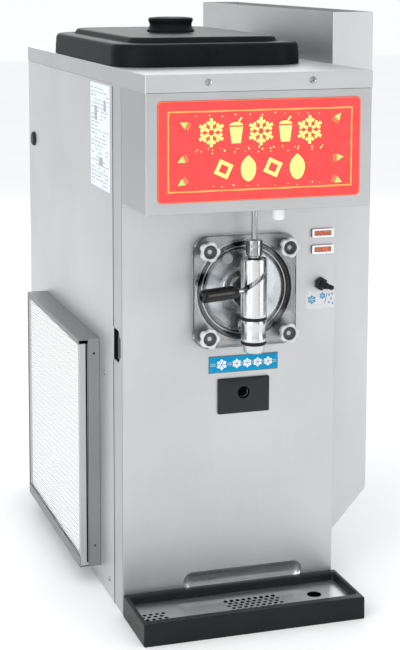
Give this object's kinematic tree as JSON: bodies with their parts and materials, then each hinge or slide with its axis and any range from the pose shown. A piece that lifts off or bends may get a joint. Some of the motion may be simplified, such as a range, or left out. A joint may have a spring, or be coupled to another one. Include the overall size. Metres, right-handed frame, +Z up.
{
  "type": "slushie machine",
  "caption": "Counter-top frozen drink freezer with lidded hopper, helical draw valve, drip tray, side air filter and rear discharge chute.",
  "frame": {"origin": "middle of the cabinet's underside, where the machine stands on a counter", "axes": "+X to the right seen from the front, +Y to the back, +Z up"},
  "size_m": [0.5248, 0.917, 1.077],
  "materials": {
    "frame_grey": "satin",
    "stainless": "brushed",
    "white_plastic": "matte",
    "lid_black": "satin",
    "grille_black": "matte",
    "display_red": "satin",
    "lamp_glass": "frosted",
    "control_black": "satin",
    "foam": "matte",
    "door_clear": "clear",
    "seal_rubber": "satin",
    "knob_grey": "satin",
    "chrome": "polished",
    "grip_black": "semi-gloss",
    "indicator_amber": "gloss",
    "motor_grey": "satin",
    "control_case": "matte",
    "tray_black": "textured",
    "shield_grey": "satin",
    "filter_aluminium": "satin",
    "filter_media": "crimped aluminium mesh",
    "coil_aluminium": "satin",
    "fan_plastic": "satin",
    "compressor_black": "gloss",
    "reducer_aluminium": "cast",
    "pulley_aluminium": "cast"
  },
  "bodies": {
    "root": {"cabinet_frame": "frame_grey", "front_panel": "stainless", "left_side_panel": "stainless", "right_side_panel": "stainless", "rear_panel": "stainless", "top_cover": "stainless", "hopper": "stainless", "discharge_chute": "stainless", "chute_grille": "grille_black", "display_housing": "stainless", "display_panel": "display_red", "display_lamp": "lamp_glass", "draw_switch": "control_black", "freezing_cylinder": "stainless", "cylinder_insulation": "foam", "freezer_door": "door_clear", "door_gasket": "seal_rubber", "front_bearing": "control_black", "valve_sleeve": "chrome", "spout": "chrome", "upper_seal": "seal_rubber", "lower_seal": "seal_rubber", "indicator_light_1": "indicator_amber", "indicator_light_2": "indicator_amber", "toggle_switch": "control_black", "adjuster_plate": "control_black", "control_box": "control_case", "filter_bracket": "stainless", "condenser": "coil_aluminium", "fan_motor": "motor_grey", "compressor": "compressor_black", "gear_reducer": "reducer_aluminium", "drive_motor": "motor_grey", "drive_belt": "seal_rubber"},
    "lid": {"hopper_lid": "lid_black"},
    "feed": {"feed_tube": "white_plastic"},
    "tray": {"drip_tray": "tray_black"},
    "shield": {"splash_shield": "shield_grey"},
    "prime": {"prime_plug": "knob_grey"},
    "rod": {"draw_rod": "chrome"},
    "valve": {"valve_plunger": "chrome", "handle_shaft": "chrome", "handle_grip": "grip_black"},
    "toggle": {"toggle_lever": "control_black"},
    "adjuster": {"torque_adjuster": "motor_grey"},
    "insert_1": {"knob_insert_1": "stainless"},
    "insert_2": {"knob_insert_2": "stainless"},
    "insert_3": {"knob_insert_3": "stainless"},
    "insert_4": {"knob_insert_4": "stainless"},
    "knob_1": {"door_knob_1": "knob_grey"},
    "knob_2": {"door_knob_2": "knob_grey"},
    "knob_3": {"door_knob_3": "knob_grey"},
    "knob_4": {"door_knob_4": "knob_grey"},
    "filter": {"filter_frame": "filter_aluminium", "filter_mesh": "filter_media"},
    "fan": {"condenser_fan": "fan_plastic"},
    "beater": {"beater": "stainless", "drive_shaft": "stainless"},
    "driven_pulley": {"driven_pulley": "pulley_aluminium"},
    "motor_pulley": {"motor_pulley": "pulley_aluminium"}
  },
  "joints": [
    {"name": "lid_lift", "type": "slide", "parent": "root", "child": "lid", "axis": [0, 0, 1], "range_m": [0, 0.15]},
    {"name": "feed_tube_lift", "type": "slide", "parent": "root", "child": "feed", "axis": [0, 0, 1], "range_m": [0, 0.03]},
    {"name": "tray_slide", "type": "slide", "parent": "root", "child": "tray", "axis": [0, -1, 0], "range_m": [0, 0.14]},
    {"name": "shield_lift", "type": "slide", "parent": "tray", "child": "shield", "axis": [0, 0, 1], "range_m": [0, 0.05]},
    {"name": "prime_pull", "type": "slide", "parent": "root", "child": "prime", "axis": [0, -1, 0], "range_m": [0, 0.012]},
    {"name": "rod_lift", "type": "slide", "parent": "root", "child": "rod", "axis": [0, 0, 1], "range_m": [0, 0.028]},
    {"name": "handle_swing", "type": "hinge", "parent": "rod", "child": "valve", "pos_m": [0.0245, -0.4295, 0.595], "axis": [0, 0, 1], "range_deg": [0, 100]},
    {"name": "toggle_tilt", "type": "hinge", "parent": "root", "child": "toggle", "pos_m": [0.1728, -0.3948, 0.586], "axis": [0, 0, 1], "range_deg": [-24, 0]},
    {"name": "adjuster_turn", "type": "hinge", "parent": "root", "child": "adjuster", "pos_m": [0.0245, -0.3735, 0.3955], "axis": [0, 1, 0], "range_deg": [0, 270]},
    {"name": "knob_travel_1", "type": "slide", "parent": "root", "child": "insert_1", "axis": [0, -1, 0], "range_m": [0, 0.01]},
    {"name": "knob_travel_2", "type": "slide", "parent": "root", "child": "insert_2", "axis": [0, -1, 0], "range_m": [0, 0.01]},
    {"name": "knob_travel_3", "type": "slide", "parent": "root", "child": "insert_3", "axis": [0, -1, 0], "range_m": [0, 0.01]},
    {"name": "knob_travel_4", "type": "slide", "parent": "root", "child": "insert_4", "axis": [0, -1, 0], "range_m": [0, 0.01]},
    {"name": "knob_turn_1", "type": "hinge", "parent": "insert_1", "child": "knob_1", "pos_m": [-0.0505, -0.4, 0.662], "axis": [0, -1, 0], "range_deg": [0, 2880]},
    {"name": "knob_turn_2", "type": "hinge", "parent": "insert_2", "child": "knob_2", "pos_m": [0.0995, -0.4, 0.662], "axis": [0, -1, 0], "range_deg": [0, 2880]},
    {"name": "knob_turn_3", "type": "hinge", "parent": "insert_3", "child": "knob_3", "pos_m": [-0.0505, -0.4, 0.506], "axis": [0, -1, 0], "range_deg": [0, 2880]},
    {"name": "knob_turn_4", "type": "hinge", "parent": "insert_4", "child": "knob_4", "pos_m": [0.0995, -0.4, 0.506], "axis": [0, -1, 0], "range_deg": [0, 2880]},
    {"name": "filter_slide", "type": "slide", "parent": "root", "child": "filter", "axis": [0, -1, 0], "range_m": [0, 0.44]},
    {"name": "fan_spin", "type": "hinge", "parent": "root", "child": "fan", "pos_m": [-0.1303, 0.003, 0.2545], "axis": [1, 0, 0], "continuous": true},
    {"name": "pulley_spin", "type": "hinge", "parent": "root", "child": "driven_pulley", "pos_m": [0.0245, 0.0625, 0.584], "axis": [0, 1, 0], "continuous": true},
    {"name": "motor_spin", "type": "hinge", "parent": "root", "child": "motor_pulley", "pos_m": [0.095, 0.0625, 0.3], "axis": [0, 1, 0], "continuous": true},
    {"name": "beater_spin", "type": "hinge", "parent": "root", "child": "beater", "pos_m": [0.0245, -0.2, 0.584], "axis": [0, 1, 0], "continuous": true}
  ],
  "couplings": [
    {"joint": "rod_lift", "follows": "handle_swing", "m_per_rad": 0.01604},
    {"joint": "knob_travel_1", "follows": "knob_turn_1", "m_per_rad": 0.0001989},
    {"joint": "knob_travel_2", "follows": "knob_turn_2", "m_per_rad": 0.0001989},
    {"joint": "knob_travel_3", "follows": "knob_turn_3", "m_per_rad": 0.0001989},
    {"joint": "knob_travel_4", "follows": "knob_turn_4", "m_per_rad": 0.0001989},
    {"joint": "motor_spin", "follows": "pulley_spin", "ratio": 2},
    {"joint": "beater_spin", "follows": "pulley_spin", "ratio": 0.1}
  ]
}
